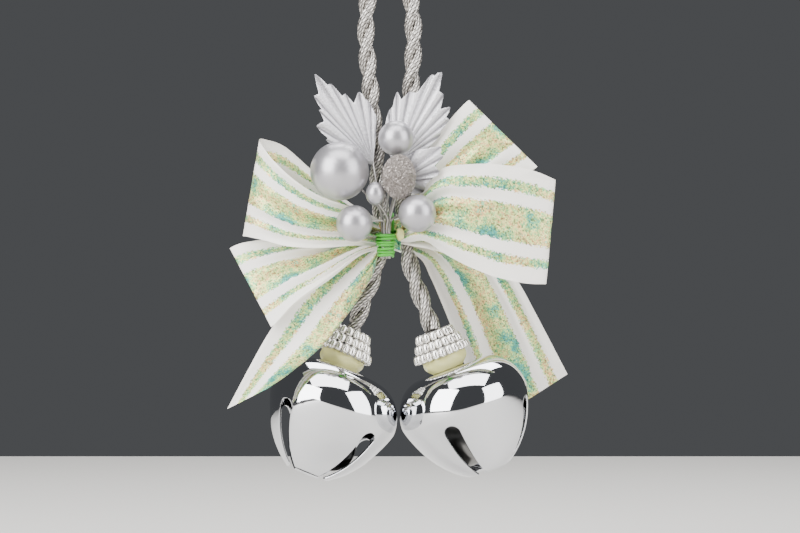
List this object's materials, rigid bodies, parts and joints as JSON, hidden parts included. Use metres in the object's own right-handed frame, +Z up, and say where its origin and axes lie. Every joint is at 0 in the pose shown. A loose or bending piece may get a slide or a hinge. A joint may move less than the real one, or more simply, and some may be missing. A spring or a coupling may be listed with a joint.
{
  "type": "christmas bell ornament",
  "caption": "Hanging ornament: petal jingle bells on a twisted silver cord with bead caps, an organza ribbon bow and a pick of pearl berries and leaves.",
  "frame": {"origin": "where the top of the cord loop rests on its hook, on the cord's axis midway between the legs", "axes": "+Z up along the hanging line, +X to the right as seen from the front, the front (bow and berries) faces -Y"},
  "size_m": [0.1254, 0.0598, 0.1932],
  "materials": {
    "cord": "metallic yarn",
    "ribbon": "striped organza with glitter lines",
    "green_wire": "matt green",
    "stem_wire": "dull",
    "amber_glue": "clear amber",
    "glitter": "rough silver glitter",
    "leaf": "silver foil with glitter",
    "pearl": "satin silver",
    "bead": "silvered",
    "cap_core": "plain",
    "bell_chrome": "polished",
    "steel_ball": "bare steel"
  },
  "bodies": {
    "hanger": {"hanging_loop_cord": "cord", "bow_loop_upper_left": "ribbon", "bow_loop_lower_left": "ribbon", "bow_loop_upper_right": "ribbon", "bow_loop_right": "ribbon", "ribbon_tail_left": "ribbon", "ribbon_tail_right": "ribbon", "bow_gather": "ribbon", "bow_binding_wire": "green_wire", "pick_wire_wrap": "green_wire", "glue_patch": "amber_glue", "large_berry": "pearl", "large_berry_stem": "stem_wire", "top_berry": "pearl", "top_berry_stem": "stem_wire", "lower_left_berry": "pearl", "lower_left_berry_stem": "stem_wire", "lower_right_berry": "pearl", "lower_right_berry_stem": "stem_wire", "berry_bud": "pearl", "berry_bud_stem": "stem_wire", "glitter_berry": "glitter", "glitter_berry_stem": "stem_wire", "leaf_left": "leaf", "leaf_left_stem": "stem_wire", "leaf_right": "leaf", "leaf_right_stem": "stem_wire", "leaf_side": "leaf", "leaf_side_stem": "stem_wire"},
    "left_drop": {"left_drop_cord": "cord"},
    "left_bell": {"left_bead_row_top": "bead", "left_bead_row_middle": "bead", "left_bead_row_bottom": "bead", "left_cap_core": "cap_core", "left_cap_glue": "amber_glue", "left_crown_staple": "stem_wire", "left_bell_shell": "bell_chrome"},
    "left_ball": {"left_jingle_ball": "steel_ball"},
    "right_drop": {"right_drop_cord": "cord"},
    "right_bell": {"right_bead_row_top": "bead", "right_bead_row_middle": "bead", "right_bead_row_bottom": "bead", "right_cap_core": "cap_core", "right_cap_glue": "amber_glue", "right_crown_staple": "stem_wire", "right_bell_shell": "bell_chrome"},
    "right_ball": {"right_jingle_ball": "steel_ball"}
  },
  "joints": [
    {"name": "left_drop_swing", "type": "hinge", "parent": "hanger", "child": "left_drop", "pos_m": [-0.003, 0, -0.095], "axis": [0, 1, 0], "range_deg": [0, 10]},
    {"name": "left_bell_rock", "type": "hinge", "parent": "left_drop", "child": "left_bell", "pos_m": [-0.0137, 0.002, -0.1318], "axis": [1, 0, 0], "range_deg": [-10, 20]},
    {"name": "left_ball_roll", "type": "hinge", "parent": "left_bell", "child": "left_ball", "pos_m": [-0.02138, -0.00225, -0.16131], "axis": [0, 1, 0], "range_deg": [-30, 30]},
    {"name": "right_drop_swing", "type": "hinge", "parent": "hanger", "child": "right_drop", "pos_m": [0.005, 0, -0.095], "axis": [0, -1, 0], "range_deg": [0, 15]},
    {"name": "right_bell_rock", "type": "hinge", "parent": "right_drop", "child": "right_bell", "pos_m": [0.0158, 0, -0.1319], "axis": [-1, 0, 0], "range_deg": [-6, 20]},
    {"name": "right_ball_roll", "type": "hinge", "parent": "right_bell", "child": "right_ball", "pos_m": [0.02748, 0, -0.16008], "axis": [0, 1, 0], "range_deg": [-30, 30]}
  ]
}
